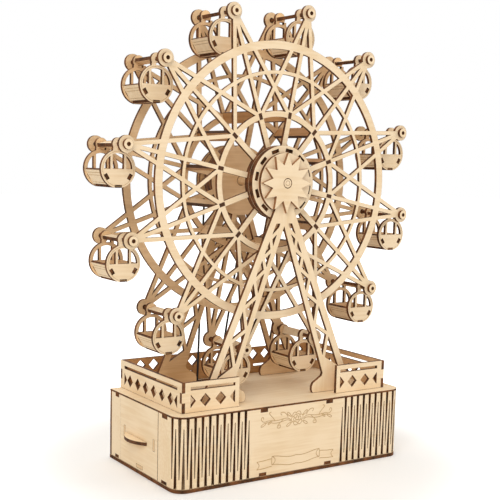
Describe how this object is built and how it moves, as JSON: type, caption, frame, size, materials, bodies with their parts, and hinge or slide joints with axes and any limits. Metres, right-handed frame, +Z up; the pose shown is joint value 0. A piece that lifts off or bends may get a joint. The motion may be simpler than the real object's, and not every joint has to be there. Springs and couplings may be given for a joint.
{
  "type": "ferris wheel music box",
  "caption": "Plywood ferris wheel on two lattice A-frames over a bent-front base box with a drawer, rear hand crank, belt drive and hidden music movement.",
  "frame": {"origin": "on the flat underside of the base plate, straight below the middle of the axle", "axes": "+Z up, the front with the open gate in the fence faces -Y, the drawer slides out along -X, the crank is at +Y"},
  "size_m": [0.3246, 0.1425, 0.4102],
  "materials": {
    "basswood": "bare laser-cut basswood plywood with burnt edges",
    "dark_ply": "burnt plywood edge",
    "birch_rod": "bare turned birch",
    "rubber": "matt",
    "steel": "satin",
    "brass": "satin"
  },
  "bodies": {
    "base": {"base_bottom": "dark_ply", "base_top": "basswood", "base_wrap": "basswood", "base_back": "basswood", "left_strip": "basswood", "fence_left": "basswood", "fence_right": "basswood", "fence_front_left": "basswood", "fence_front_right": "basswood", "fence_back": "basswood", "front_frame": "basswood", "back_frame": "basswood", "front_cap": "basswood", "back_cap": "basswood", "drawer_guide_front": "basswood", "drawer_guide_back": "basswood", "movement_bed": "brass", "movement_comb": "steel", "drive_belt": "rubber"},
    "wheel": {"front_rim": "basswood", "back_rim": "basswood", "front_hub": "basswood", "back_hub": "basswood", "axle": "dark_ply", "wheel_pulley": "basswood", "spacer_01": "basswood", "spacer_02": "basswood", "spacer_03": "basswood", "spacer_04": "basswood", "spacer_05": "basswood", "spacer_06": "basswood", "spacer_07": "basswood", "spacer_08": "basswood", "spacer_09": "basswood", "spacer_10": "basswood", "spacer_11": "basswood", "spacer_12": "basswood"},
    "crank": {"crank_shaft": "steel", "drive_pulley": "basswood", "crank_arm": "basswood"},
    "knob": {"crank_knob": "birch_rod"},
    "drum": {"movement_drum": "brass"},
    "drawer": {"drawer_front": "basswood", "drawer_tray": "basswood", "drawer_pull": "basswood"},
    "cabin_01": {"cabin_01": "basswood"},
    "cabin_02": {"cabin_02": "basswood"},
    "cabin_03": {"cabin_03": "basswood"},
    "cabin_04": {"cabin_04": "basswood"},
    "cabin_05": {"cabin_05": "basswood"},
    "cabin_06": {"cabin_06": "basswood"},
    "cabin_07": {"cabin_07": "basswood"},
    "cabin_08": {"cabin_08": "basswood"},
    "cabin_09": {"cabin_09": "basswood"},
    "cabin_10": {"cabin_10": "basswood"},
    "cabin_11": {"cabin_11": "basswood"},
    "cabin_12": {"cabin_12": "basswood"}
  },
  "joints": [
    {"name": "wheel_spin", "type": "hinge", "parent": "base", "child": "wheel", "pos_m": [0, 0, 0.256], "axis": [0, 1, 0], "continuous": true},
    {"name": "cabin_01_swing", "type": "hinge", "parent": "wheel", "child": "cabin_01", "pos_m": [0.14208, 0, 0.30409], "axis": [0, 1, 0], "continuous": true},
    {"name": "cabin_02_swing", "type": "hinge", "parent": "wheel", "child": "cabin_02", "pos_m": [0.099, 0, 0.36869], "axis": [0, 1, 0], "continuous": true},
    {"name": "cabin_03_swing", "type": "hinge", "parent": "wheel", "child": "cabin_03", "pos_m": [0.02939, 0, 0.40309], "axis": [0, 1, 0], "continuous": true},
    {"name": "cabin_04_swing", "type": "hinge", "parent": "wheel", "child": "cabin_04", "pos_m": [-0.04809, 0, 0.39808], "axis": [0, 1, 0], "continuous": true},
    {"name": "cabin_05_swing", "type": "hinge", "parent": "wheel", "child": "cabin_05", "pos_m": [-0.11269, 0, 0.355], "axis": [0, 1, 0], "continuous": true},
    {"name": "cabin_06_swing", "type": "hinge", "parent": "wheel", "child": "cabin_06", "pos_m": [-0.14709, 0, 0.28539], "axis": [0, 1, 0], "continuous": true},
    {"name": "cabin_07_swing", "type": "hinge", "parent": "wheel", "child": "cabin_07", "pos_m": [-0.14208, 0, 0.20791], "axis": [0, 1, 0], "continuous": true},
    {"name": "cabin_08_swing", "type": "hinge", "parent": "wheel", "child": "cabin_08", "pos_m": [-0.099, 0, 0.14331], "axis": [0, 1, 0], "continuous": true},
    {"name": "cabin_09_swing", "type": "hinge", "parent": "wheel", "child": "cabin_09", "pos_m": [-0.02939, 0, 0.10891], "axis": [0, 1, 0], "continuous": true},
    {"name": "cabin_10_swing", "type": "hinge", "parent": "wheel", "child": "cabin_10", "pos_m": [0.04809, 0, 0.11392], "axis": [0, 1, 0], "continuous": true},
    {"name": "cabin_11_swing", "type": "hinge", "parent": "wheel", "child": "cabin_11", "pos_m": [0.11269, 0, 0.157], "axis": [0, 1, 0], "continuous": true},
    {"name": "cabin_12_swing", "type": "hinge", "parent": "wheel", "child": "cabin_12", "pos_m": [0.14709, 0, 0.22661], "axis": [0, 1, 0], "continuous": true},
    {"name": "crank_turn", "type": "hinge", "parent": "base", "child": "crank", "pos_m": [-0.02, 0, 0.04], "axis": [0, 1, 0], "continuous": true},
    {"name": "knob_spin", "type": "hinge", "parent": "crank", "child": "knob", "pos_m": [0.008, 0.068, 0.04], "axis": [0, 1, 0], "continuous": true},
    {"name": "drum_turn", "type": "hinge", "parent": "base", "child": "drum", "pos_m": [0, 0, 0.026], "axis": [1, 0, 0], "continuous": true},
    {"name": "drawer_slide", "type": "slide", "parent": "base", "child": "drawer", "axis": [-1, 0, 0], "range_m": [0, 0.065]}
  ],
  "couplings": [
    {"joint": "cabin_01_swing", "follows": "wheel_spin", "ratio": -1},
    {"joint": "cabin_02_swing", "follows": "wheel_spin", "ratio": -1},
    {"joint": "cabin_03_swing", "follows": "wheel_spin", "ratio": -1},
    {"joint": "cabin_04_swing", "follows": "wheel_spin", "ratio": -1},
    {"joint": "cabin_05_swing", "follows": "wheel_spin", "ratio": -1},
    {"joint": "cabin_06_swing", "follows": "wheel_spin", "ratio": -1},
    {"joint": "cabin_07_swing", "follows": "wheel_spin", "ratio": -1},
    {"joint": "cabin_08_swing", "follows": "wheel_spin", "ratio": -1},
    {"joint": "cabin_09_swing", "follows": "wheel_spin", "ratio": -1},
    {"joint": "cabin_10_swing", "follows": "wheel_spin", "ratio": -1},
    {"joint": "cabin_11_swing", "follows": "wheel_spin", "ratio": -1},
    {"joint": "cabin_12_swing", "follows": "wheel_spin", "ratio": -1},
    {"joint": "crank_turn", "follows": "wheel_spin", "ratio": 2.5},
    {"joint": "drum_turn", "follows": "wheel_spin", "ratio": 0.10417}
  ]
}
